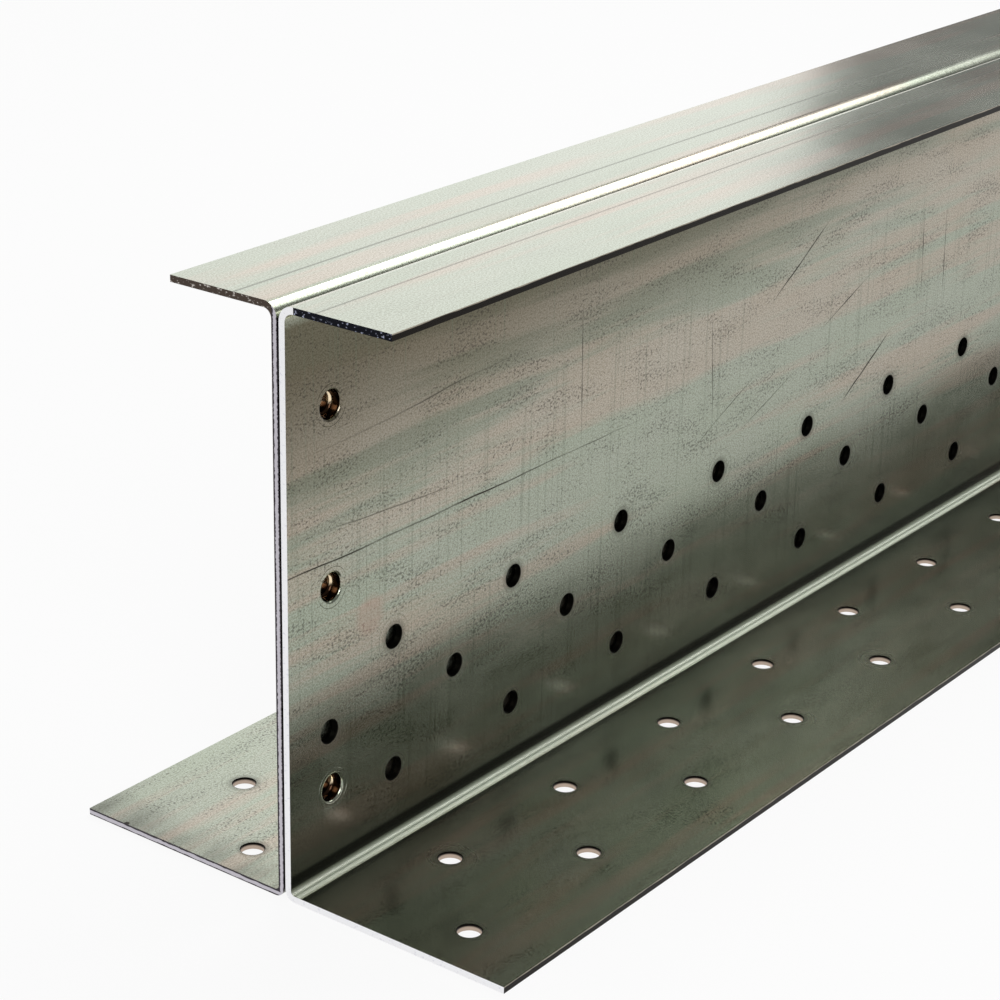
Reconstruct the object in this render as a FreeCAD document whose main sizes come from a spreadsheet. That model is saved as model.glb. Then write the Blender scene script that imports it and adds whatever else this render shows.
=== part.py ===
"""Steel lintel: two folded galvanised channels, back to back, pressed together at both ends.

Millimetres. +Y runs along the lintel and +Z is up. The origin is on the underside, midway along,
in the mid-plane between the two webs. Each channel is built about its own back, then placed half
the gap away from the mid-plane.
"""
import FreeCAD, Part
import math
import os
import Sketcher

SIZES = {
    # the folded section, the same for both channels
    "lintel_length": 1200.0,
    "lintel_height": 225.0,
    "sheet": 2.6,
    "back_gap": 0.7,            # between the two webs
    "base_flange": 99.0,        # out from the back of the web
    "top_flange": 48.5,
    "base_bend": 1.6,           # inside radii of the two folds
    "top_bend": 3.4,
    # the round holes, punched in staggered rows before folding
    "hole_dia": 9.0,
    "hole_pitch": 72.0,
    "high_row": 84.6,           # heights of the web's rows above the underside
    "mid_row": 60.0,
    "low_row": 30.6,
    "inner_row": 30.1,          # distances of the flange's rows from the back of the web
    "outer_row": 67.3,
    "right_phase": 57.5,        # from the near end to a hole of the high, low and inner rows
    "left_phase": 16.2,
    "end_margin": 12.0,         # least distance from a cut end to a hole's centre
    "joint_land": 1.0,          # least metal along the sheet between a button and a low-row hole
    # the press joints, where a punch drove the right web into the left one
    "joint_end": 23.3,          # from each end
    "joint_high": 183.8,        # heights above the underside
    "joint_mid": 115.7,
    "joint_low": 36.6,
    "mouth_dia": 11.0,
    "mouth_round": 1.0,
    "cup_wall": 0.9,
    "cup_floor": 0.9,
    "cup_clearance": 0.05,      # between the right web's cup and the left web's, all round
    "button_wall": 0.9,
    "button_floor": 1.2,
    "button_rise": 1.1,         # how far the left web's cup stands out of its open face
    "button_round": 0.7,
}

# how far the right web's cup reaches past the back of the right channel
CUP_REACH = "(Sizes.back_gap + Sizes.sheet + Sizes.button_rise - Sizes.button_floor)"
CUP_DIA = "(Sizes.mouth_dia + 2 * Sizes.cup_wall)"
NEST_DIA = f"({CUP_DIA} + 2 * Sizes.cup_clearance)"
BUTTON_DIA = f"({NEST_DIA} + 2 * Sizes.button_wall)"
JOINT_CLEAR = f"(Sizes.joint_end + ({BUTTON_DIA} + Sizes.hole_dia) / 2 + Sizes.joint_land)"
JOINT_ROWS = ("joint_high", "joint_mid", "joint_low")


def write_sheet(doc):
    sheet = doc.addObject("Spreadsheet::Sheet", "Sizes")
    for row, (name, value) in enumerate(SIZES.items(), start=1):
        sheet.set(f"A{row}", name)
        sheet.set(f"B{row}", str(value))
        sheet.setAlias(f"B{row}", name)
    doc.recompute()


def add_sketch(body, name, plane, offset=None):
    """An empty sketch on one of the body's own planes, moved along the plane's normal by offset."""
    sketch = body.newObject("Sketcher::SketchObject", name)
    origin_plane = next(f for f in body.Origin.OriginFeatures if f.Role == plane)
    sketch.AttachmentSupport = [(origin_plane, "")]
    sketch.MapMode = "FlatFace"
    if offset:
        sketch.setExpression("AttachmentOffset.Base.z", offset)
    return sketch


def name_size(sketch, constraint, name, expression):
    """Adds a constraint under a name of its own and ties it to the sheet."""
    index = sketch.addConstraint(constraint)
    sketch.renameConstraint(index, name)
    sketch.setExpression(f"Constraints.{name}", expression)


def name_offset(sketch, kind, name, point, side, expression):
    """Holds a point, as (geometry, end), at a distance from the sketch's origin on side + or -."""
    origin = (-1, 1)
    ends = (*origin, *point) if side > 0 else (*point, *origin)
    name_size(sketch, Sketcher.Constraint(kind, *ends, 10.0), name, expression)


def section_runs(side):
    """The folded outline as straight runs and bends, in order, at the sheet's own values."""
    height, sheet = SIZES["lintel_height"], SIZES["sheet"]
    base_outer = SIZES["base_bend"] + sheet
    top_outer = SIZES["top_bend"] + sheet
    base_tip, top_tip = SIZES["base_flange"], SIZES["top_flange"]

    def at(across, up):
        return FreeCAD.Vector(side * across, up, 0)

    def bend(centre_across, centre_up, radius, first, last):
        middle = math.radians((first + last) / 2)
        points = [
            at(centre_across + radius * math.cos(a), centre_up + radius * math.sin(a))
            for a in (math.radians(first), middle, math.radians(last))
        ]
        return Part.Arc(*points)

    return {
        "underside": Part.LineSegment(at(base_tip, 0), at(base_outer, 0)),
        "base_back_bend": bend(base_outer, base_outer, base_outer, 270, 180),
        "back": Part.LineSegment(at(0, base_outer), at(0, height - top_outer)),
        "top_back_bend": bend(top_outer, height - top_outer, top_outer, 180, 90),
        "top": Part.LineSegment(at(top_outer, height), at(top_tip, height)),
        "top_edge": Part.LineSegment(at(top_tip, height), at(top_tip, height - sheet)),
        "top_inside": Part.LineSegment(at(top_tip, height - sheet), at(top_outer, height - sheet)),
        "top_bend": bend(top_outer, height - top_outer, top_outer - sheet, 90, 180),
        "web": Part.LineSegment(at(sheet, height - top_outer), at(sheet, base_outer)),
        "base_bend": bend(base_outer, base_outer, base_outer - sheet, 180, 270),
        "ledge": Part.LineSegment(at(base_outer, sheet), at(base_tip, sheet)),
        "base_edge": Part.LineSegment(at(base_tip, sheet), at(base_tip, 0)),
    }


def joined_ends(sketch, first, second):
    """The end of each of two neighbouring runs that meets the other: 1 is a start, 2 an end."""
    pairs = [(i, j) for i in (1, 2) for j in (1, 2)]
    return min(pairs, key=lambda p: sketch.getPoint(first, p[0]).distanceToPoint(
        sketch.getPoint(second, p[1])))


def sketch_section(body, side):
    """The channel's section, on side + or - of its own back, which is the plane X = 0."""
    sketch = add_sketch(body, "section", "XZ_Plane")
    runs = section_runs(side)
    geometry = {name: sketch.addGeometry(run, False) for name, run in runs.items()}
    names = list(runs)
    for first, second in zip(names, names[1:] + names[:1]):
        a, b = geometry[first], geometry[second]
        end_a, end_b = joined_ends(sketch, a, b)
        kind = "Tangent" if "bend" in first + second else "Coincident"
        sketch.addConstraint(Sketcher.Constraint(kind, a, end_a, b, end_b))
    for name in ("underside", "top", "top_inside", "ledge"):
        sketch.addConstraint(Sketcher.Constraint("Horizontal", geometry[name]))
    for name in ("back", "top_edge", "web", "base_edge"):
        sketch.addConstraint(Sketcher.Constraint("Vertical", geometry[name]))
    for inner, outer in (("base_bend", "base_back_bend"), ("top_bend", "top_back_bend")):
        centres = (geometry[inner], 3, geometry[outer], 3)
        sketch.addConstraint(Sketcher.Constraint("Coincident", *centres))
        radius = Sketcher.Constraint("Radius", geometry[inner], SIZES[inner])
        name_size(sketch, radius, f"{inner}_radius", f"Sizes.{inner}")
    axes = {"underside": -1, "back": -2}
    for name, axis in axes.items():
        sketch.addConstraint(Sketcher.Constraint("PointOnObject", geometry[name], 1, axis))
    edge = geometry["top_edge"]
    gauge = Sketcher.Constraint("DistanceY", edge, 2, edge, 1, SIZES["sheet"])
    name_size(sketch, gauge, "gauge", "Sizes.sheet")
    name_offset(sketch, "DistanceY", "height", (geometry["top"], 1), 1, "Sizes.lintel_height")
    for name, size in (("underside", "base_flange"), ("top_edge", "top_flange")):
        name_offset(sketch, "DistanceX", size, (geometry[name], 1), side, f"Sizes.{size}")
    return sketch


def add_circle(sketch, name, dia, along, up):
    """A circle of a named diameter; along and up are its centre, each as (side, expression)."""
    start = FreeCAD.Vector(along[0] * 30, up[0] * 30, 0)
    circle = sketch.addGeometry(Part.Circle(start, FreeCAD.Vector(0, 0, 1), 5.0), False)
    name_size(sketch, Sketcher.Constraint("Diameter", circle, 10.0), f"{name}_dia", dia)
    for kind, (side, expression) in (("DistanceX", along), ("DistanceY", up)):
        name_offset(sketch, kind, f"{name}_{kind}", (circle, 3), side, expression)


def cut(body, name, sketch, reversed_way, depth=None):
    """A pocket, through everything where no depth is given. It has to take something away."""
    before = body.Shape.Volume
    pocket = body.newObject("PartDesign::Pocket", name)
    pocket.Profile = sketch
    pocket.Reversed = reversed_way
    if depth:
        pocket.setExpression("Length", depth)
    else:
        pocket.Type = "ThroughAll"
    body.Document.recompute()
    if body.Shape.Volume >= before:
        raise RuntimeError(f"{body.Label}: {name} cuts nothing")
    return pocket


def punch_row(body, name, plane, across, phase, margin, reversed_way):
    """A row of holes along the channel, on the punching grid of phase and pitch.

    It starts at the grid's first place that is margin or more from the near end, and it stops
    that far or more from the far end. across is the row's place, as (side, expression).
    """
    pitch = "Sizes.hole_pitch"
    first = f"({phase} + {pitch} * ceil(({margin} - ({phase})) / {pitch}))"
    last_place = f"(Sizes.lintel_length - {margin} - {first}) / {pitch}"
    from_middle = (-1, f"Sizes.lintel_length / 2 - {first}")
    sketch = add_sketch(body, f"{name}_sketch", plane)
    on_web = plane == "YZ_Plane"
    along, up = (from_middle, across) if on_web else (across, from_middle)
    add_circle(sketch, "hole", "Sizes.hole_dia", along, up)
    hole = cut(body, f"{name}_hole", sketch, reversed_way, None if on_web else "2 * Sizes.sheet")
    row = body.newObject("PartDesign::LinearPattern", name)
    row.Originals = [hole]
    row.Direction = (sketch, ["H_Axis" if on_web else "V_Axis"])
    row.Mode = "Spacing"
    row.setExpression("Offset", pitch)
    row.setExpression("Occurrences", f"floor({last_place}) + 1")
    body.Tip = row
    body.Document.recompute()


def punch_rows(body, side, phase):
    """The web's three rows and the flange's two; the mid and outer rows are half a pitch out."""
    half_out = f"({phase} + Sizes.hole_pitch / 2)"
    web_rows = (
        ("high_row", phase, "Sizes.end_margin"),
        ("mid_row", half_out, "Sizes.end_margin"),
        ("low_row", phase, JOINT_CLEAR),
    )
    for name, start, margin in web_rows:
        across = (1, f"Sizes.{name}")
        punch_row(body, name, "YZ_Plane", across, start, margin, reversed_way=side > 0)
    for name, start in (("inner_row", phase), ("outer_row", half_out)):
        across = (side, f"Sizes.{name}")
        punch_row(body, name, "XY_Plane", across, start, "Sizes.end_margin", reversed_way=True)


def sketch_joints(body, name, dia, offset=None):
    """Circles at all the press joints: three heights at each end."""
    sketch = add_sketch(body, name, "YZ_Plane", offset)
    for end_name, end_side in (("near", -1), ("far", 1)):
        along = (end_side, "Sizes.lintel_length / 2 - Sizes.joint_end")
        for row in JOINT_ROWS:
            add_circle(sketch, f"{end_name}_{row}", dia, along, (1, f"Sizes.{row}"))
    return sketch


def add_discs(body, name, sketch, thickness):
    """Discs that stand out of the web's back or open face, away from +X."""
    before = body.Shape.Volume
    pad = body.newObject("PartDesign::Pad", name)
    pad.Profile = sketch
    pad.Reversed = True
    pad.setExpression("Length", thickness)
    body.Document.recompute()
    if body.Shape.Volume <= before:
        raise RuntimeError(f"{body.Label}: {name} adds nothing")


def round_rims(body, name, radius, rim_radius, rim_x):
    """Rounds every circular edge of one radius that lies in the plane X = rim_x of the body."""
    base = body.Tip
    rims = [
        f"Edge{i}"
        for i, edge in enumerate(base.Shape.Edges, start=1)
        if isinstance(edge.Curve, Part.Circle)
        and abs(edge.Curve.Radius - rim_radius) < 1e-4
        and abs(edge.Curve.Center.x - rim_x) < 1e-4
    ]
    fillet = body.newObject("PartDesign::Fillet", name)
    fillet.Base = (base, rims)
    fillet.setExpression("Radius", radius)
    body.Tip = fillet
    body.Document.recompute()


def press_cups(body):
    """The right web's cups, open on the web's open face and closed past its back."""
    face = "Sizes.sheet"
    discs = sketch_joints(body, "cup_outline", CUP_DIA, face)
    add_discs(body, "cups", discs, f"Sizes.sheet + {CUP_REACH}")
    mouths = sketch_joints(body, "mouth_outline", "Sizes.mouth_dia", face)
    depth = f"Sizes.sheet + {CUP_REACH} - Sizes.cup_floor"
    cut(body, "mouths", mouths, reversed_way=False, depth=depth)
    round_rims(body, "mouth_rims", "Sizes.mouth_round", SIZES["mouth_dia"] / 2, SIZES["sheet"])


def press_buttons(body):
    """The left web's cups, which hold the right web's and stand out as buttons."""
    discs = sketch_joints(body, "button_outline", BUTTON_DIA)
    add_discs(body, "buttons", discs, "Sizes.sheet + Sizes.button_rise")
    nests = sketch_joints(body, "nest_outline", NEST_DIA)
    depth = "Sizes.sheet + Sizes.button_rise - Sizes.button_floor"
    cut(body, "nests", nests, reversed_way=False, depth=depth)
    cup_radius = SIZES["mouth_dia"] / 2 + SIZES["cup_wall"]
    button_radius = cup_radius + SIZES["cup_clearance"] + SIZES["button_wall"]
    button_face = -(SIZES["sheet"] + SIZES["button_rise"])
    round_rims(body, "button_rims", "Sizes.button_round", button_radius, button_face)


def make_channel(doc, name, side, phase, press):
    """One folded channel on side + or - of the mid-plane, punched and then pressed."""
    body = doc.addObject("PartDesign::Body", name)
    body.Label = name
    gap_sign = "" if side > 0 else "-"
    body.setExpression("Placement.Base.x", f"{gap_sign}Sizes.back_gap / 2")
    pad = body.newObject("PartDesign::Pad", "folded_sheet")
    pad.Profile = sketch_section(body, side)
    pad.SideType = "Symmetric"
    pad.setExpression("Length", "Sizes.lintel_length")
    doc.recompute()
    punch_rows(body, side, phase)
    press(body)
    return body


def check(doc, bodies):
    """Stops on any failed object, and on any channel that isn't one sound solid."""
    for item in doc.Objects:
        if {"Invalid", "Error"} & set(item.State):
            raise RuntimeError(f"{item.Name} is {item.State}")
    for body in bodies:
        shape = body.Shape
        if shape.isNull() or not shape.isValid() or len(shape.Solids) != 1:
            raise RuntimeError(f"{body.Label} isn't one valid solid")


def main():
    doc = FreeCAD.newDocument("steel_lintel")
    write_sheet(doc)
    bodies = [
        make_channel(doc, "right_channel", 1, "Sizes.right_phase", press_cups),
        make_channel(doc, "left_channel", -1, "Sizes.left_phase", press_buttons),
    ]
    doc.recompute()
    check(doc, bodies)
    os.makedirs("parts", exist_ok=True)
    for body in bodies:
        body.Shape.exportStep(f"parts/{body.Label}.step")
        box = body.Shape.BoundBox
        print(body.Label, "volume", round(body.Shape.Volume), "box", box)


main()
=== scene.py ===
"""Looks of the steel lintel: two folded, punched galvanised channels pressed together back to back."""
import math
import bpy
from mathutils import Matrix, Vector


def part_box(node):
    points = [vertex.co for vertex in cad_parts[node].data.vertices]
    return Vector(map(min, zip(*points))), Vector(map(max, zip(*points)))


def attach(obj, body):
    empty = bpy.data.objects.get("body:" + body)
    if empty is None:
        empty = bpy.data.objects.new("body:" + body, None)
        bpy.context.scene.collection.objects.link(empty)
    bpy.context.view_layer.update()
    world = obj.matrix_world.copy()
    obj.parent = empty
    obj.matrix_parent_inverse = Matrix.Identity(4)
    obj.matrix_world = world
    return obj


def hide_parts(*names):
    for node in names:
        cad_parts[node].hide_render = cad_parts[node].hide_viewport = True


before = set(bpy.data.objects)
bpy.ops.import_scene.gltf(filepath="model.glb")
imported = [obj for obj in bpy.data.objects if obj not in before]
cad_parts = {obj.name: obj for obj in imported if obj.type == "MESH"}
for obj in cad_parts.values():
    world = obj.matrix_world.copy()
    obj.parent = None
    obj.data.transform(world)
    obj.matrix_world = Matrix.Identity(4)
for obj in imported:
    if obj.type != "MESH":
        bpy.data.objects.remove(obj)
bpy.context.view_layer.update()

from types import SimpleNamespace

import bmesh
import bpy
from mathutils import Matrix, Vector

MM = 0.001

# ---------------------------------------------------------------- sizes, in millimetres
box_low, box_high = (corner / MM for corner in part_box("right_channel"))
LENGTH = box_high.y - box_low.y
HEIGHT = box_high.z
BASE_HALF = box_high.x
BACK = 0.35                     # from the mid-plane to the back of each web
SHEET = 2.6
TOP_HALF = 48.5 + BACK
BASE_BEND = 1.6                 # inside radii of the folds
TOP_BEND = 3.4
OPEN_FACE = BACK + SHEET        # the side of each web that shows

HOLE_RADIUS = 4.5
HOLE_PITCH = 72.0
WEB_ROWS = {"high": 84.6, "mid": 60.0, "low": 30.6}
FLANGE_ROWS = {"inner": 30.1 + BACK, "outer": 67.3 + BACK}
PHASES = {1: 57.5, -1: 16.2}    # from the near end to the first hole of the high, low and inner rows
END_MARGIN = 12.0
RIM_ROLL = 0.3                  # round of a hole's rim where the punch went in
OVERRUN = 1.0                   # how far a cutter runs past the face it cuts
EDGE_ROUND = 0.3
JOINT_END = 23.3
JOINT_HEIGHTS = (183.8, 115.7, 36.6)
JOINT_CLEAR = JOINT_END + 12.85  # where the low row may start, clear of the joints
MOUTH_RADIUS = 5.5
CUP_RADIUS = 6.4
CUP_DEPTH = 4.9
CUP_FLOOR = 0.9
CUP_ROUND = 0.5
NEST_RADIUS = 6.45
NEST_DEPTH = 2.5
BUTTON_RADIUS = 7.35
BUTTON_RISE = 1.1
BUTTON_ROUND = 0.7
RING_RADIUS = 7.75              # marks of the clamp rings that held the sheets while they were pressed
BUTTON_RING_RADIUS = BUTTON_RADIUS + 1.2
RING_DEPTH = 0.07
RING_WIDTH = 0.7

# material slots of a channel
FACE, WALL, CUP, END, SLIT, BASE_WALL = range(6)


# ---------------------------------------------------------------- mesh building
def new_piece(name, bm, materials=()):
    mesh = bpy.data.meshes.new(name)
    bm.normal_update()
    bm.to_mesh(mesh)
    bm.free()
    for material in materials:
        mesh.materials.append(material)
    piece = bpy.data.objects.new(name, mesh)
    bpy.context.scene.collection.objects.link(piece)
    return piece


def arc(centre, radius, first, last, steps):
    """Points of an arc, angles in degrees, both ends included."""
    turn = [math.radians(first + (last - first) * i / steps) for i in range(steps + 1)]
    return [(centre[0] + radius * math.cos(a), centre[1] + radius * math.sin(a)) for a in turn]


def section(side):
    """The folded outline as (x, z) points, going round the sheet."""
    base_outer, top_outer = BASE_BEND + SHEET, TOP_BEND + SHEET
    base = (BACK + base_outer, base_outer)
    top = (BACK + top_outer, HEIGHT - top_outer)
    outline = [(BASE_HALF, 0.0)]
    outline += arc(base, base_outer, 270, 180, 12)
    outline += arc(top, top_outer, 180, 90, 16)
    outline += [(TOP_HALF, HEIGHT), (TOP_HALF, HEIGHT - SHEET)]
    outline += arc(top, TOP_BEND, 90, 180, 16)
    outline += arc(base, BASE_BEND, 180, 270, 12)
    outline += [(BASE_HALF, SHEET)]
    return [(side * x, z) for x, z in outline]


def extrude_section(side):
    bm = bmesh.new()
    ends = []
    for y in (-LENGTH / 2, LENGTH / 2):
        ends.append([bm.verts.new(Vector((x, y, z)) * MM) for x, z in section(side)])
    near, far = ends
    count = len(near)
    bm.faces.new(near)
    bm.faces.new(list(reversed(far)))
    for i in range(count):
        j = (i + 1) % count
        bm.faces.new((near[j], near[i], far[i], far[j]))
    bmesh.ops.recalc_face_normals(bm, faces=bm.faces[:])
    return bm


def turn_solid(bm, profile, place, axis, slot=FACE, segments=48, deep_slot=None, below=0.0):
    """Adds a solid of revolution. profile is (radius, height) from one end of the axis to the
    other; heights are measured from place along axis. Faces that start under below take deep_slot."""
    turn = Vector(axis).to_track_quat("Z", "Y").to_matrix().to_4x4()
    put = Matrix.Translation(Vector(place)) @ turn
    rings = []
    for radius, height in profile:
        if radius == 0:
            rings.append([bm.verts.new((put @ Vector((0, 0, height))) * MM)])
            continue
        ring = []
        for i in range(segments):
            a = math.tau * i / segments
            spot = Vector((radius * math.cos(a), radius * math.sin(a), height))
            ring.append(bm.verts.new((put @ spot) * MM))
        rings.append(ring)
    closed = profile[0][0] > 0
    pairs = list(zip(rings, rings[1:])) + ([(rings[-1], rings[0])] if closed else [])
    for n, (a, b) in enumerate(pairs):
        deep = deep_slot is not None and profile[n][1] < below
        for i in range(segments):
            j = (i + 1) % segments
            corners = [a[i % len(a)], a[j % len(a)], b[j % len(b)], b[i % len(b)]]
            corners = list(dict.fromkeys(corners))
            bm.faces.new(corners).material_index = deep_slot if deep else slot


def hole_rows(side):
    """(on the web?, place across, first hole from the near end, count) for each row."""
    rows = []
    phase = PHASES[side]
    half_out = phase + HOLE_PITCH / 2
    starts = [(True, WEB_ROWS["high"], phase, END_MARGIN), (True, WEB_ROWS["mid"], half_out, END_MARGIN),
              (True, WEB_ROWS["low"], phase, JOINT_CLEAR), (False, FLANGE_ROWS["inner"], phase, END_MARGIN),
              (False, FLANGE_ROWS["outer"], half_out, END_MARGIN)]
    for on_web, across, start, margin in starts:
        first = start + HOLE_PITCH * math.ceil((margin - start) / HOLE_PITCH)
        count = math.floor((LENGTH - margin - first) / HOLE_PITCH) + 1
        rows.append((on_web, across, first, count))
    return rows


def hole_places(side):
    """Each hole as (place on the sheet's punched face, the face's outward normal)."""
    for on_web, across, first, count in hole_rows(side):
        for i in range(count):
            y = first + i * HOLE_PITCH - LENGTH / 2
            if on_web:
                yield Vector((side * OPEN_FACE, y, across)), Vector((side, 0, 0))
            else:
                yield Vector((side * across, y, SHEET)), Vector((0, 0, 1))


def cut_holes(bm, side):
    """Punched holes with a rounded-over rim where the punch went in."""
    rim = HOLE_RADIUS + RIM_ROLL
    hole = [(0, OVERRUN), (rim, OVERRUN)] + arc((rim, -RIM_ROLL), RIM_ROLL, 90, 180, 5)
    hole += [(HOLE_RADIUS, -SHEET - OVERRUN), (0, -SHEET - OVERRUN)]
    for place, normal in hole_places(side):
        turn_solid(bm, hole, place, normal, slot=WALL if normal.x else BASE_WALL)


def cut_ring(bm, place, normal, radius):
    """A ring pressed into the face by the clamp of the joining press."""
    lip = 0.1
    ring = [(radius - RING_WIDTH / 2, lip), (radius, -RING_DEPTH), (radius + RING_WIDTH / 2, lip)]
    turn_solid(bm, ring, place, normal)


def joint_places():
    for y in (-LENGTH / 2 + JOINT_END, LENGTH / 2 - JOINT_END):
        for z in JOINT_HEIGHTS:
            yield y, z


def evaluated(piece):
    """The piece's mesh with its modifiers applied, and the modifiers gone."""
    graph = bpy.context.evaluated_depsgraph_get()
    mesh = bpy.data.meshes.new_from_object(piece.evaluated_get(graph))
    piece.modifiers.clear()
    piece.data = mesh
    return piece


def combine(piece, other, operation):
    change = piece.modifiers.new(operation.lower(), "BOOLEAN")
    change.operation = operation
    change.object = other
    change.solver = "EXACT"
    change.material_mode = "TRANSFER"
    evaluated(piece)
    bpy.data.objects.remove(other)


def right_joints(added, cut):
    """The right web's cups, which the punch drove in from the open face."""
    reach = CUP_DEPTH + CUP_FLOOR
    corner = (CUP_RADIUS - CUP_ROUND, -reach + CUP_ROUND)
    cup = [(0, -SHEET / 2), (CUP_RADIUS, -SHEET / 2), (CUP_RADIUS, -reach + CUP_ROUND)]
    cup += arc(corner, CUP_ROUND, 0, -90, 3)[1:] + [(0, -reach)]
    mouth_round, floor_round, throat = 1.4, 1.5, MOUTH_RADIUS - 0.4
    mouth = [(0, OVERRUN), (throat + mouth_round, OVERRUN)]
    mouth += arc((throat + mouth_round, -mouth_round), mouth_round, 90, 180, 9)
    mouth += arc((throat - floor_round, -CUP_DEPTH + floor_round), floor_round, 0, -90, 7)
    mouth += [(2.0, -CUP_DEPTH + 0.1), (0, -CUP_DEPTH + 0.12)]
    for y, z in joint_places():
        place = Vector((OPEN_FACE, y, z))
        turn_solid(added, cup, place, (1, 0, 0))
        turn_solid(cut, mouth, place, (1, 0, 0), segments=64, deep_slot=CUP, below=-0.7)
        cut_ring(cut, place, (1, 0, 0), RING_RADIUS)


def left_joints(added, cut):
    """The left web's cups, which stand out of its open face as round buttons."""
    rise = BUTTON_RISE
    shoulder = (BUTTON_RADIUS - BUTTON_ROUND, rise - BUTTON_ROUND)
    button = [(0, -SHEET / 2), (BUTTON_RADIUS, -SHEET / 2), (BUTTON_RADIUS, rise - BUTTON_ROUND)]
    button += arc(shoulder, BUTTON_ROUND, 0, 90, 6)[1:]
    # the top is dished a little
    button += [(MOUTH_RADIUS - 0.6, rise), (MOUTH_RADIUS - 1.4, rise - 0.15), (0, rise - 0.2)]
    nest = [(0, OVERRUN), (NEST_RADIUS, OVERRUN), (NEST_RADIUS, -NEST_DEPTH), (0, -NEST_DEPTH)]
    for y, z in joint_places():
        turn_solid(added, button, Vector((-OPEN_FACE, y, z)), (-1, 0, 0), slot=CUP, segments=64)
        turn_solid(cut, nest, Vector((-BACK, y, z)), (1, 0, 0), slot=WALL)
        cut_ring(cut, Vector((-OPEN_FACE, y, z)), (-1, 0, 0), BUTTON_RING_RADIUS)


def mark_edges(mesh):
    """Gives the cut ends and the flanges' cut edges their bare edge finishes."""
    close = EDGE_ROUND + 0.05
    for face in mesh.polygons:
        if face.material_index != FACE:
            continue
        centre, normal = face.center / MM, face.normal
        out = abs(centre.x)
        if abs(abs(centre.y) - LENGTH / 2) < close and abs(normal.y) > 0.5:
            face.material_index = END
        elif min(abs(out - BASE_HALF), abs(out - TOP_HALF)) < close and abs(normal.x) > 0.9:
            face.material_index = SLIT


def make_channel(name, side, materials, joints):
    channel = new_piece(name, extrude_section(side), materials)
    added, cut = bmesh.new(), bmesh.new()
    joints(added, cut)
    cut_holes(cut, side)
    for bm in (added, cut):
        bmesh.ops.recalc_face_normals(bm, faces=bm.faces[:])
    combine(channel, new_piece("added", added, materials), "UNION")
    combine(channel, new_piece("cut", cut, materials), "DIFFERENCE")
    bevel = channel.modifiers.new("sheared_edges", "BEVEL")
    bevel.width = EDGE_ROUND * MM
    bevel.segments = 2
    bevel.limit_method = "ANGLE"
    bevel.angle_limit = math.radians(50)
    evaluated(channel)
    mark_edges(channel.data)
    channel.data.shade_smooth()
    channel.data.set_sharp_from_angle(angle=math.radians(22))
    weigh = channel.modifiers.new("flat_sheet_normals", "WEIGHTED_NORMAL")
    weigh.keep_sharp = True
    weigh.weight = 100
    return channel


# ---------------------------------------------------------------- materials
# sockets of a colour mix: the colours at share 0 and 1, and the mixed colour
BELOW, ABOVE, MIXED = 6, 7, 2


def linear(colour):
    """An sRGB hex colour as linear RGBA."""
    parts = [int(colour[i:i + 2], 16) / 255 for i in (1, 3, 5)]
    return (*[p / 12.92 if p <= 0.04045 else ((p + 0.055) / 1.055) ** 2.4 for p in parts], 1.0)


def add(tree, kind, inputs=(), **settings):
    """Adds a node with its settings; inputs maps a socket's name or number to a value or link."""
    node = tree.nodes.new(kind)
    for name, value in settings.items():
        setattr(node, name, value)
    for key, value in dict(inputs).items():
        socket = node.inputs[key]
        if isinstance(value, bpy.types.NodeSocket):
            tree.links.new(value, socket)
        elif isinstance(value, bpy.types.Node):
            tree.links.new(value.outputs[0], socket)
        else:
            socket.default_value = value
    return node


def empty_material(name):
    """A material with nothing in it yet, and its node tree."""
    material = bpy.data.materials.new(name)
    material.use_nodes = True
    material.node_tree.nodes.clear()
    return material, material.node_tree


def plain_metal(name, colour, roughness):
    """Bare metal of one colour, its node tree and its shader."""
    material, tree = empty_material(name)
    values = {"Base Color": linear(colour), "Metallic": 1.0, "Roughness": roughness}
    shader = add(tree, "ShaderNodeBsdfPrincipled", values)
    add(tree, "ShaderNodeOutputMaterial", {"Surface": shader})
    return material, tree, shader


def in_millimetres(tree):
    """A point's place in mm and its x, y and z; out, how far it is from the mid-plane; across, how
    far up the sheet it is when unfolded; and flat, its place on the unfolded sheet."""
    coords = add(tree, "ShaderNodeTexCoord")
    place = add(tree, "ShaderNodeVectorMath", {0: coords.outputs["Object"], 1: (1000, 1000, 1000)},
            operation="MULTIPLY")
    parts = add(tree, "ShaderNodeSeparateXYZ", {0: place})
    out = add(tree, "ShaderNodeMath", {0: parts.outputs["X"]}, operation="ABSOLUTE")
    fold = add(tree, "ShaderNodeMath", {0: parts.outputs["Z"], 1: HEIGHT / 2}, operation="SUBTRACT")
    fold = add(tree, "ShaderNodeMath", {0: fold}, operation="SIGN")
    flange = add(tree, "ShaderNodeMath", {0: out, 1: OPEN_FACE}, operation="SUBTRACT")
    across = add(tree, "ShaderNodeMath", {0: flange, 1: fold, 2: parts.outputs["Z"]},
            operation="MULTIPLY_ADD")
    side = add(tree, "ShaderNodeMath", {0: parts.outputs["X"]}, operation="SIGN")
    side = add(tree, "ShaderNodeMath", {0: side, 1: 500}, operation="MULTIPLY")
    flat = add(tree, "ShaderNodeCombineXYZ", {"X": parts.outputs["Y"], "Y": across, "Z": side})
    x, y, z = (parts.outputs[name] for name in "XYZ")
    return SimpleNamespace(place=place, x=x, y=y, z=z, out=out, across=across, flat=flat)


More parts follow.
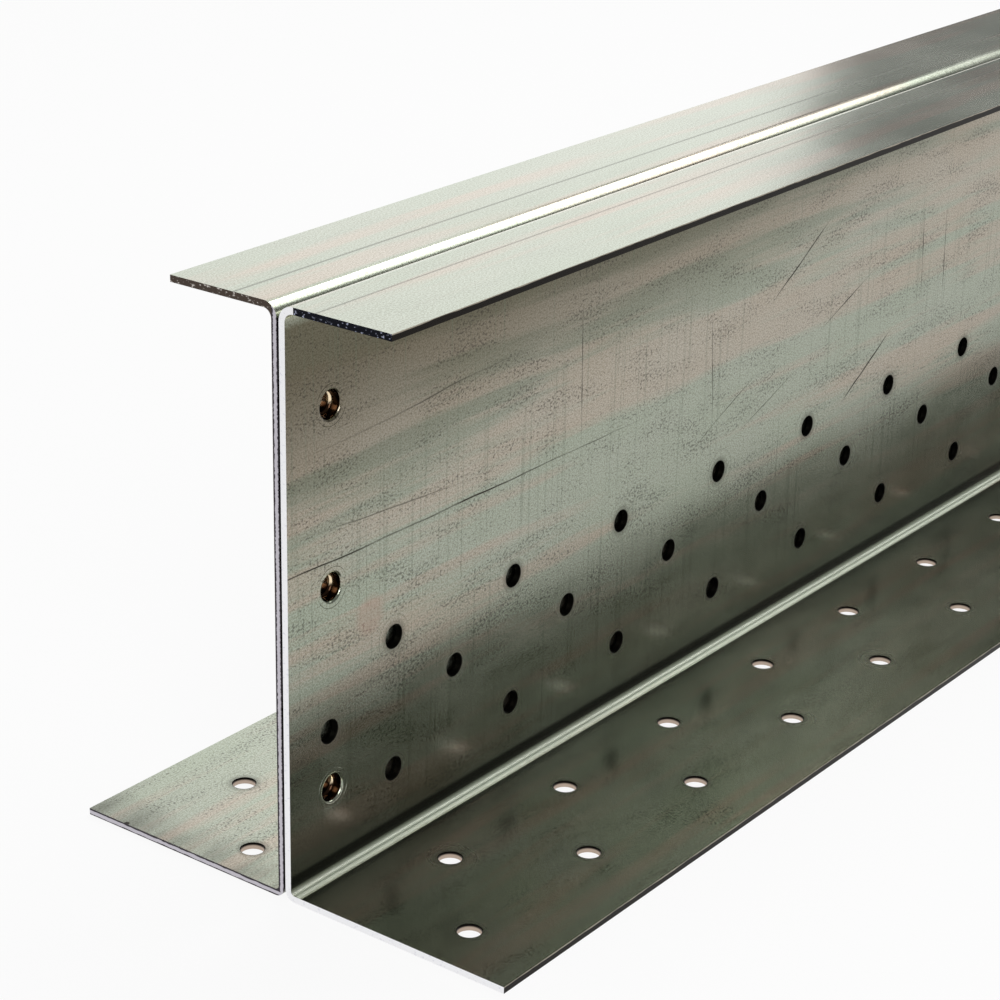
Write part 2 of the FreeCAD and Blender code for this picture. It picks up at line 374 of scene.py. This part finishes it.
def mottle(tree, flat, along, across, detail, low, high):
    """Blotches of the given lengths in mm, from 0 to 1, with their contrast set by low and high."""
    spread = add(tree, "ShaderNodeVectorMath", {0: flat, 1: (1 / along, 1 / across, 1)},
            operation="MULTIPLY")
    blotch = add(tree, "ShaderNodeTexNoise",
            {"Vector": spread, "Scale": 1.0, "Detail": detail, "Roughness": 0.55})
    return add(tree, "ShaderNodeMapRange", {"Value": blotch, "From Min": low, "From Max": high},
            interpolation_type="SMOOTHSTEP")


def joined(tree, operation, *values):
    """The values joined one after another by the same operation."""
    total = values[0]
    for value in values[1:]:
        total = add(tree, "ShaderNodeMath", {0: total, 1: value}, operation=operation)
    return total


def band(tree, value, low, high, soft):
    """1 between low and high, falling to 0 over soft outside them."""
    rise = add(tree, "ShaderNodeMapRange", {"Value": value, "From Min": low - soft, "From Max": low})
    fall = add(tree, "ShaderNodeMapRange",
            {"Value": value, "From Min": high, "From Max": high + soft, "To Min": 1, "To Max": 0})
    return joined(tree, "MULTIPLY", rise, fall)


# Scratches on the right web: start and end as (along, height), half width, strength
SCRATCHES = [
    ((-700, 126.8), (-360, 125.4), 0.45, 0.8), ((-294, 149), (-242, 181), 0.5, 0.9),
    ((-252, 127), (-199, 148), 0.4, 0.6), ((-228, 87), (-182, 114), 0.6, 1.0),
    ((-350, 100), (-296, 124), 0.35, 0.45), ((-320, 96), (-262, 117), 0.35, 0.4),
    ((-430, 190), (-428, 124), 0.4, 0.6), ((-338, 165), (-333, 105), 0.4, 0.45),
    ((-161, 170), (-157, 116), 0.5, 0.5), ((-139, 165), (-136, 110), 0.5, 0.5),
    ((-600, 140), (-490, 133), 0.4, 0.35), ((-600, 168), (-460, 176), 0.5, 0.35),
]


def scratch_lines(tree, flat):
    """Thin lines, fading at both ends, where something hard was dragged over the right web."""
    marks = []
    for (y0, z0), (y1, z1), half, strength in SCRATCHES:
        reach = math.hypot(y1 - y0, z1 - z0) / 2
        line = add(tree, "ShaderNodeMapping",
                {"Vector": flat, "Location": ((y0 + y1) / 2, (z0 + z1) / 2, 500),
                   "Rotation": (0, 0, math.atan2(z1 - z0, y1 - y0)), "Scale": (reach, half, 100)},
                   vector_type="TEXTURE")
        mark = add(tree, "ShaderNodeTexGradient", {"Vector": line}, gradient_type="SPHERICAL")
        marks.append(add(tree, "ShaderNodeMath", {0: mark.outputs["Fac"], 1: 2.2 * strength},
                operation="MULTIPLY"))
    total = joined(tree, "MAXIMUM", *marks)
    return joined(tree, "MINIMUM", total, 0.85)


def to_nearest_hole(tree, at):
    """Distance in mm on the sheet to the middle of the nearest punched hole."""
    side = add(tree, "ShaderNodeMath", {0: at.x}, operation="SIGN")
    middle, half = (PHASES[1] + PHASES[-1]) / 2, (PHASES[1] - PHASES[-1]) / 2
    phase = add(tree, "ShaderNodeMath", {0: side, 1: half, 2: middle - LENGTH / 2},
            operation="MULTIPLY_ADD")
    along = joined(tree, "SUBTRACT", at.y, phase)
    along = add(tree, "ShaderNodeMath", {0: along, 1: HOLE_PITCH / 2}, operation="PINGPONG")
    stepped = joined(tree, "SUBTRACT", HOLE_PITCH / 2, along)
    flat_flange = SHEET + OPEN_FACE
    in_phase = [WEB_ROWS["high"], WEB_ROWS["low"], flat_flange - FLANGE_ROWS["inner"]]
    half_step = [WEB_ROWS["mid"], flat_flange - FLANGE_ROWS["outer"]]
    reaches = []
    for step, rows in ((along, in_phase), (stepped, half_step)):
        offs = [joined(tree, "SUBTRACT", at.across, row) for row in rows]
        offs = [add(tree, "ShaderNodeMath", {0: off}, operation="ABSOLUTE") for off in offs]
        spot = add(tree, "ShaderNodeCombineXYZ", {"X": step, "Y": joined(tree, "MINIMUM", *offs)})
        reaches.append(add(tree, "ShaderNodeVectorMath", {0: spot}, operation="LENGTH").outputs["Value"])
    return joined(tree, "MINIMUM", *reaches)


def make_galvanised():
    """Zinc coat on rolled steel: cool green-grey metal with warm rolling streaks, fine grain, dark
    specks and handling marks; painted reflections and shade on the webs and painted highlights along the
    folds."""
    material, tree, shader = plain_metal("galvanised_sheet", "#9DA395", 0.22)
    at = in_millimetres(tree)

    # warm and cool streaks drawn out along the rolling direction, turned warmer 145 to 180 mm up the webs
    # by a painted warm reflection
    streaks = mottle(tree, at.flat, 230, 13, 3, 0.0, 1.0)
    warm_reflection_band = band(tree, at.across, 145, 180, 30)
    streaks = add(tree, "ShaderNodeMath", {0: warm_reflection_band, 1: 0.14, 2: streaks}, operation="MULTIPLY_ADD")
    streaks = add(tree, "ShaderNodeMapRange", {"Value": streaks, "From Min": 0.46, "From Max": 0.72},
            interpolation_type="SMOOTHSTEP")
    colour = add(tree, "ShaderNodeMix", {0: streaks, BELOW: linear("#A3AB9C"),
            ABOVE: linear("#B1A799")}, data_type="RGBA").outputs[MIXED]
    # slow light and dark clouds of the patina
    clouds = mottle(tree, at.flat, 80, 40, 3, 0.3, 0.7)
    colour = add(tree, "ShaderNodeMix", {0: joined(tree, "MULTIPLY", clouds, 0.3), BELOW: colour,
            ABOVE: linear("#BDBEB6")}, data_type="RGBA").outputs[MIXED]
    # painted shade: both webs darkened to brown under the top flanges and lower towards the ends, standing
    # in for the dark surroundings they mirror
    inward = add(tree, "ShaderNodeMath", {0: at.y}, operation="ABSOLUTE")
    inward = joined(tree, "SUBTRACT", LENGTH / 2, inward)
    level = add(tree, "ShaderNodeMath", {0: inward, 1: -0.1, 2: at.z}, operation="MULTIPLY_ADD")
    level = add(tree, "ShaderNodeMath", {0: streaks, 1: -14, 2: level}, operation="MULTIPLY_ADD")
    upper_web_shade = add(tree, "ShaderNodeMapRange", {"Value": level, "From Min": 108, "From Max": 192},
            interpolation_type="SMOOTHSTEP")
    upper_web_shade = joined(tree, "MULTIPLY", upper_web_shade, band(tree, at.z, 0, 216, 5), 0.9)
    on_web = add(tree, "ShaderNodeMath", {0: at.out, 1: OPEN_FACE + 0.3}, operation="LESS_THAN")
    upper_web_shade = joined(tree, "MULTIPLY", upper_web_shade, on_web)
    colour = add(tree, "ShaderNodeMix", {0: upper_web_shade, BELOW: colour, ABOVE: linear("#5E5745")},
            data_type="RGBA").outputs[MIXED]
    # faint upright lines, darker and greenish, where the sheet rubbed its neighbour in the stack
    rubs = mottle(tree, at.flat, 1.4, 90, 1, 0.55, 0.72)
    colour = add(tree, "ShaderNodeMix", {0: joined(tree, "MULTIPLY", rubs, on_web, 0.28), BELOW: colour,
            ABOVE: linear("#66705F")}, data_type="RGBA").outputs[MIXED]
    # the fine salt-and-pepper grain of the zinc
    grain = mottle(tree, at.flat, 0.8, 0.65, 1, 0.3, 0.66)
    grain_colour = add(tree, "ShaderNodeMix",
            {0: grain, BELOW: linear("#D6D4CB"), ABOVE: linear("#FFFFFF")}, data_type="RGBA").outputs[MIXED]
    colour = add(tree, "ShaderNodeMix", {0: 1.0, BELOW: colour, ABOVE: grain_colour}, data_type="RGBA",
            blend_type="MULTIPLY").outputs[MIXED]
    # dark specks of dirt, gathered in patches
    fine = mottle(tree, at.flat, 1.3, 1.0, 2, 0.0, 1.0)
    patches = mottle(tree, at.flat, 40, 11, 4, 0.3, 0.7)
    crowded = add(tree, "ShaderNodeMath", {0: patches, 1: 0.28, 2: fine}, operation="MULTIPLY_ADD")
    specks = add(tree, "ShaderNodeMapRange",
            {"Value": crowded, "From Min": 0.76, "From Max": 0.92, "To Max": 0.6})
    # fewer of them on the top flanges
    below_top = add(tree, "ShaderNodeMath", {0: at.z, 1: HEIGHT - 4}, operation="LESS_THAN")
    kept = add(tree, "ShaderNodeMath", {0: below_top, 1: 0.75, 2: 0.25}, operation="MULTIPLY_ADD")
    specks = joined(tree, "MULTIPLY", specks, kept)
    drift = add(tree, "ShaderNodeCombineXYZ", {"Y": joined(tree, "MULTIPLY", clouds, 1.2)})
    bent = add(tree, "ShaderNodeVectorMath", {0: at.flat, 1: drift}, operation="ADD")
    dirt = joined(tree, "MULTIPLY", scratch_lines(tree, bent), joined(tree, "ADD", patches, 0.45))
    # painted shade: a dark band on the web just above the inside corner of the base fold, fading on up the
    # web
    corner = band(tree, at.across, 4.8, 9.0, 2.5)
    fading = band(tree, at.across, 4.8, 5.0, 20.0)
    corner = joined(tree, "MAXIMUM", joined(tree, "MULTIPLY", corner, 0.9),
            joined(tree, "MULTIPLY", fading, 0.5))
    base = add(tree, "ShaderNodeMath", {0: at.across, 1: 4.0}, operation="GREATER_THAN")
    colour = add(tree, "ShaderNodeMix", {0: joined(tree, "MULTIPLY", corner, base), BELOW: colour,
            ABOVE: linear("#1C1914")}, data_type="RGBA").outputs[MIXED]
    # dark halo round the punched holes, and the faint ring the stripper plate pressed round them
    reach = to_nearest_hole(tree, at)
    halo = add(tree, "ShaderNodeMapRange",
            {"Value": reach, "From Min": 4.6, "From Max": 7.5, "To Min": 0.45, "To Max": 0})
    dirt = joined(tree, "MAXIMUM", dirt, halo)
    wander = mottle(tree, at.flat, 26, 26, 0, 0.25, 0.75)
    uneven = add(tree, "ShaderNodeMath", {0: wander, 1: 1.6, 2: reach}, operation="MULTIPLY_ADD")
    ring = band(tree, uneven, 9.6, 9.8, 0.4)
    dirt = joined(tree, "MAXIMUM", dirt, joined(tree, "MULTIPLY", ring, 0.16))
    # press marks on the top flanges beside each fold
    height = add(tree, "ShaderNodeMath", {0: at.z, 1: HEIGHT - 0.5}, operation="GREATER_THAN")
    right_mark = band(tree, at.x, 16.3, 16.7, 0.5)
    left_mark = band(tree, at.x, -20.0, -19.5, 0.6)
    press = joined(tree, "MULTIPLY", joined(tree, "MAXIMUM", right_mark, left_mark), height)
    dirt = joined(tree, "MAXIMUM", dirt, joined(tree, "MULTIPLY", press, 0.5))
    # a darker mottled band along the near end of the left base flange, and painted shade: a small nick
    # shown as a black spot
    left_base = add(tree, "ShaderNodeMath", {0: at.x, 1: -OPEN_FACE - 1}, operation="LESS_THAN")
    near_end_band = band(tree, at.y, -LENGTH / 2, -LENGTH / 2 + 4, 16)
    near_end_band = joined(tree, "MULTIPLY", near_end_band, left_base,
            joined(tree, "ADD", joined(tree, "MULTIPLY", patches, 0.7), 0.25), 0.4)
    low = add(tree, "ShaderNodeMath", {0: at.z, 1: SHEET + 4}, operation="LESS_THAN")
    dirt = joined(tree, "MAXIMUM", dirt, joined(tree, "MULTIPLY", near_end_band, low))
    nick = add(tree, "ShaderNodeVectorMath", {0: at.place, 1: (-80, -599.6, SHEET)},
            operation="DISTANCE").outputs["Value"]
    nick = add(tree, "ShaderNodeMapRange",
            {"Value": nick, "From Min": 0.9, "From Max": 1.5, "To Min": 1, "To Max": 0})
    dirt = joined(tree, "MAXIMUM", dirt, nick)
    stained = joined(tree, "MAXIMUM", dirt, specks)
    colour = add(tree, "ShaderNodeMix", {0: stained, BELOW: colour, ABOVE: linear("#35302A")},
            data_type="RGBA").outputs[MIXED]
    # reddish round scuff on the right web
    scuff = add(tree, "ShaderNodeVectorMath", {0: at.flat, 1: (-556, 98, 500)},
            operation="DISTANCE").outputs["Value"]
    scuff = add(tree, "ShaderNodeMapRange",
            {"Value": scuff, "From Min": 5.5, "From Max": 9.0, "To Min": 0.8, "To Max": 0})
    colour = add(tree, "ShaderNodeMix", {0: joined(tree, "MULTIPLY", scuff, specks), BELOW: colour,
            ABOVE: linear("#6E5C52")}, data_type="RGBA").outputs[MIXED]
    colour = add(tree, "ShaderNodeMix", {0: joined(tree, "MULTIPLY", scuff, 0.5), BELOW: colour,
            ABOVE: linear("#A88E80")}, data_type="RGBA").outputs[MIXED]
    # painted highlight: a bright line along the foot of the right base fold
    fold_highlights = band(tree, at.across, -0.2, 3.0, 2.2)
    fold_highlights = joined(tree, "MULTIPLY", fold_highlights,
            add(tree, "ShaderNodeMath", {0: at.x, 1: 0.0}, operation="GREATER_THAN"))
    colour = add(tree, "ShaderNodeMix", {0: joined(tree, "MULTIPLY", fold_highlights, 0.8), BELOW: colour,
            ABOVE: linear("#E6EDDE")}, data_type="RGBA").outputs[MIXED]
    # painted highlight: the top fold of the right channel lightened where it meets its neighbour
    top_fold_highlight = band(tree, at.x, 0.0, 4.6, 1.0)
    top_fold_highlight = joined(tree, "MULTIPLY", top_fold_highlight,
            add(tree, "ShaderNodeMath", {0: at.z, 1: HEIGHT - 3.5}, operation="GREATER_THAN"))
    colour = add(tree, "ShaderNodeMix", {0: top_fold_highlight, BELOW: colour, ABOVE: linear("#E8E6DC")},
            data_type="RGBA").outputs[MIXED]
    fold_highlights = joined(tree, "MAXIMUM", fold_highlights, top_fold_highlight)
    tree.links.new(colour, shader.inputs["Base Color"])

    rough = add(tree, "ShaderNodeMapRange", {"Value": clouds, "To Min": 0.19, "To Max": 0.25})
    worn = add(tree, "ShaderNodeMath", {0: dirt, 1: 0.2, 2: rough}, operation="MULTIPLY_ADD")
    rolled = add(tree, "ShaderNodeMath", {0: fold_highlights, 1: 0.3, 2: worn}, operation="MULTIPLY_ADD")
    tree.links.new(rolled.outputs[0], shader.inputs["Roughness"])
    bump = add(tree, "ShaderNodeBump", {"Height": ring, "Distance": -0.004 * MM, "Strength": 0.6})
    # the fold's foot is dished, so it mirrors the high softbox
    foot = add(tree, "ShaderNodeMapRange", {"Value": at.across, "From Min": -2.6, "From Max": 1.0},
            interpolation_type="SMOOTHSTEP")
    foot = joined(tree, "MULTIPLY", foot, base_side(tree, at))
    dished = add(tree, "ShaderNodeBump", {"Height": foot, "Distance": 1.3 * MM, "Strength": 1.0,
            "Normal": bump})
    tree.links.new(dished.outputs[0], shader.inputs["Normal"])
    return material


def base_side(tree, at):
    """1 on the right base flange's upper side and 0 elsewhere."""
    low = add(tree, "ShaderNodeMath", {0: at.z, 1: SHEET + 3}, operation="LESS_THAN")
    right = add(tree, "ShaderNodeMath", {0: at.x, 1: OPEN_FACE + 0.2}, operation="GREATER_THAN")
    return joined(tree, "MULTIPLY", low, right)


def make_sheared():
    """Cut ends of the sheet: bright burnished steel on the right, duller on the left, torn and
    blue-black on top."""
    material, tree, shader = plain_metal("sheared_end", "#E9E9EE", 0.35)
    at = in_millimetres(tree)
    above = joined(tree, "SUBTRACT", HEIGHT, at.z)
    web = joined(tree, "SUBTRACT", at.out, BACK)
    depth = joined(tree, "MINIMUM", web, at.z, above)
    specks = mottle(tree, at.place, 1.7, 1, 3, 0.56, 0.7)
    ragged = mottle(tree, at.place, 4, 1, 2, 0.3, 0.7)
    depth = add(tree, "ShaderNodeMath", {0: ragged, 1: 0.35, 2: depth}, operation="MULTIPLY_ADD")
    from_fold = add(tree, "ShaderNodeMath", {0: at.x, 1: 2.0}, operation="SUBTRACT")
    from_fold = add(tree, "ShaderNodeMath", {0: from_fold}, operation="ABSOLUTE")
    on_flange = add(tree, "ShaderNodeMath", {0: from_fold, 1: 4.8}, operation="GREATER_THAN")
    on_top = add(tree, "ShaderNodeMath", {0: at.z, 1: HEIGHT / 2}, operation="GREATER_THAN")
    on_top = joined(tree, "MULTIPLY", on_flange, on_top)
    on_right = add(tree, "ShaderNodeMath", {0: at.x, 1: 0.0}, operation="GREATER_THAN")

    clean = add(tree, "ShaderNodeMix", {0: specks, BELOW: linear("#F4F4F6"), ABOVE: linear("#DEDEE6")},
            data_type="RGBA").outputs[MIXED]
    torn = add(tree, "ShaderNodeMix", {0: specks, BELOW: linear("#14151C"), ABOVE: linear("#A9AEC4")},
            data_type="RGBA").outputs[MIXED]
    right_end = add(tree, "ShaderNodeMix", {0: on_top, BELOW: clean, ABOVE: torn},
            data_type="RGBA").outputs[MIXED]
    middle = band(tree, depth, 0.75, 1.9, 0.25)
    dull = add(tree, "ShaderNodeMix", {0: middle, BELOW: linear("#3C373C"), ABOVE: linear("#C4C0C8")},
            data_type="RGBA").outputs[MIXED]
    pitted = add(tree, "ShaderNodeMix", {0: specks, BELOW: linear("#4A4039"), ABOVE: linear("#CFC9C2")},
            data_type="RGBA").outputs[MIXED]
    left_end = add(tree, "ShaderNodeMix", {0: on_top, BELOW: dull, ABOVE: pitted},
            data_type="RGBA").outputs[MIXED]
    colour = add(tree, "ShaderNodeMix", {0: on_right, BELOW: left_end, ABOVE: right_end},
            data_type="RGBA").outputs[MIXED]
    tree.links.new(colour, shader.inputs["Base Color"])
    bump = add(tree, "ShaderNodeBump", {"Height": specks, "Distance": 0.03 * MM, "Strength": 0.4})
    tree.links.new(bump.outputs[0], shader.inputs["Normal"])
    return material


def make_slit():
    """Long slit edges of the flanges: a near-black face under a thin bright line; the near black is painted
    shade, standing in for the dark surroundings and shadowed floor the edges mirror.
    """
    material, tree, shader = plain_metal("slit_edge", "#2A251E", 0.4)
    at = in_millimetres(tree)
    ragged = mottle(tree, at.flat, 12, 12, 2, 0.3, 0.7)
    ragged = joined(tree, "MULTIPLY", ragged, 0.3)
    under_top = joined(tree, "SUBTRACT", HEIGHT, at.z)
    under_base = add(tree, "ShaderNodeMath", {0: SHEET, 1: at.z}, operation="SUBTRACT")
    under_base = add(tree, "ShaderNodeMath", {0: under_base}, operation="ABSOLUTE")
    depth = joined(tree, "MINIMUM", under_top, under_base)
    depth = joined(tree, "ADD", depth, ragged)
    bright = add(tree, "ShaderNodeMapRange", {"Value": depth, "From Min": 0.35, "From Max": 0.6})
    colour = add(tree, "ShaderNodeMix", {0: bright, BELOW: linear("#A59D8E"), ABOVE: linear("#17130E")},
            data_type="RGBA").outputs[MIXED]
    tree.links.new(colour, shader.inputs["Base Color"])
    return material


def make_pressed():
    """Drawn metal of the press joints: smooth, with painted shade making the cups near black, and a
    painted golden highlight on the corner between wall and floor."""
    material, tree, shader = plain_metal("pressed_cup", "#2A1D14", 0.16)
    at = in_millimetres(tree)
    # painted highlight: golden on the corner between the cup's wall and its floor, strongest on its upper
    # side
    corner = band(tree, at.x, OPEN_FACE - CUP_DEPTH + 0.15, OPEN_FACE - CUP_DEPTH + 1.1, 0.3)
    upper = [band(tree, at.z, height - 0.5, height + 3.0, 1.5) for height in JOINT_HEIGHTS]
    corner_highlight = joined(tree, "MULTIPLY", corner, joined(tree, "MAXIMUM", *upper))
    colour = add(tree, "ShaderNodeMix", {0: corner_highlight, BELOW: linear("#33241A"), ABOVE: linear("#F2DDBB")},
            data_type="RGBA").outputs[MIXED]
    # the buttons on the left channel stand clear and stay the colour of the sheet
    left = add(tree, "ShaderNodeMath", {0: at.x, 1: -OPEN_FACE + 0.1}, operation="LESS_THAN")
    colour = add(tree, "ShaderNodeMix", {0: left, BELOW: colour, ABOVE: linear("#A79C8E")},
            data_type="RGBA").outputs[MIXED]
    tree.links.new(colour, shader.inputs["Base Color"])
    return material


def make_base_wall():
    """Walls of the base flange holes: warm and pale where light comes up from below, black under
    the rim."""
    material, tree, shader = plain_metal("punched_flange_wall", "#B8A697", 0.4)
    at = in_millimetres(tree)
    under_rim = add(tree, "ShaderNodeMapRange", {"Value": at.z, "From Min": 1.3, "From Max": 1.9})
    colour = add(tree, "ShaderNodeMix", {0: under_rim, BELOW: linear("#B8A697"),
            ABOVE: linear("#12100E")}, data_type="RGBA").outputs[MIXED]
    tree.links.new(colour, shader.inputs["Base Color"])
    return material


galvanised = make_galvanised()
# painted shade: the web hole walls are near black, for the shade inside the holes
dark_web_hole_wall = plain_metal("punched_web_wall", "#151412", 0.5)[0]
punched_base = make_base_wall()
pressed = make_pressed()
sheared = make_sheared()
slit = make_slit()

# ---------------------------------------------------------------- pieces
materials = [galvanised, dark_web_hole_wall, pressed, sheared, slit, punched_base]
right = make_channel("right_channel_sheet", 1, materials, right_joints)
left = make_channel("left_channel_sheet", -1, materials, left_joints)
for piece, node in ((right, "right_channel"), (left, "left_channel")):
    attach(piece, "root")
    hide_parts(node)


# ---------------------------------------------------------------- studio
def make_floor():
    bm = bmesh.new()
    half = 30000
    corners = [(-half, -half), (half, -half), (half, half), (-half, half)]
    bm.faces.new([bm.verts.new(Vector((x, y, -0.2)) * MM) for x, y in corners])
    material, tree = empty_material("pale_floor")
    paint = add(tree, "ShaderNodeBsdfDiffuse", {"Color": linear("#E6E6E6")})
    glow = add(tree, "ShaderNodeEmission", {"Color": (1, 1, 1, 1), "Strength": 1.0})
    path = add(tree, "ShaderNodeLightPath")
    seen = add(tree, "ShaderNodeMath", {0: path.outputs["Is Camera Ray"],
            1: path.outputs["Is Glossy Ray"]}, operation="MAXIMUM")
    seen = add(tree, "ShaderNodeMath", {0: seen, 1: path.outputs["Is Transmission Ray"]},
            operation="MAXIMUM")
    share = add(tree, "ShaderNodeMath", {0: seen, 1: 0.9}, operation="MULTIPLY")
    both = add(tree, "ShaderNodeMixShader", {0: share, 1: paint, 2: glow})
    add(tree, "ShaderNodeOutputMaterial", {"Surface": both})
    floor = new_piece("floor", bm, [material])


def make_world():
    """Plain grey room, the same for every ray."""
    world = bpy.data.worlds.new("studio")
    bpy.context.scene.world = world
    world.use_nodes = True
    tree = world.node_tree
    tree.nodes.clear()
    room = add(tree, "ShaderNodeBackground", {"Color": (1, 1, 1, 1), "Strength": 0.28})
    add(tree, "ShaderNodeOutputWorld", {"Surface": room})


def add_lamp(name, place, target, width, depth, power):
    lamp = bpy.data.lights.new(name, "AREA")
    lamp.shape = "RECTANGLE"
    lamp.size, lamp.size_y = width * MM, depth * MM
    lamp.energy = power
    piece = bpy.data.objects.new(name, lamp)
    piece.location = Vector(place) * MM
    piece.rotation_mode = "QUATERNION"
    piece.rotation_quaternion = (Vector(target) - Vector(place)).to_track_quat("-Z", "Y")
    bpy.context.scene.collection.objects.link(piece)


def make_camera():
    azimuth, elevation, roll = math.radians(36.995), math.radians(22.005), math.radians(1.198)
    data = bpy.data.cameras.new("camera")
    data.lens = 95.95
    data.sensor_width = 36.0
    data.clip_start, data.clip_end = 0.01, 100.0
    camera = bpy.data.objects.new("camera", data)
    forward = Vector((-math.sin(azimuth) * math.cos(elevation), math.cos(azimuth) * math.cos(elevation),
            -math.sin(elevation)))
    level = Vector((math.cos(azimuth), math.sin(azimuth), 0))
    up = level.cross(forward)
    right = level * math.cos(roll) + up * math.sin(roll)
    up = right.cross(forward)
    turn = Matrix((right, up, -forward)).transposed().to_4x4()
    camera.matrix_world = Matrix.Translation(Vector((563.16, -1223.58, 495.11)) * MM) @ turn
    bpy.context.scene.collection.objects.link(camera)
    bpy.context.scene.camera = camera


make_floor()
make_world()
make_camera()
# four plain softboxes; with the room they light a level surface at about 1
add_lamp("overhead", (-300, 500, 1900), (0, -200, 100), 1200, 1200, 13)
add_lamp("front_softbox", (1500, -1900, 1300), (0, -200, 100), 1200, 1200, 30)
add_lamp("left_softbox", (-2165, 2015, 1300), (-2165, 0, 1300), 1670, 2400, 16)
add_lamp("high_softbox", (100, 2015, 2350), (100, 0, 2350), 2400, 1700, 51)

bpy.context.scene.view_settings.view_transform = "Standard"
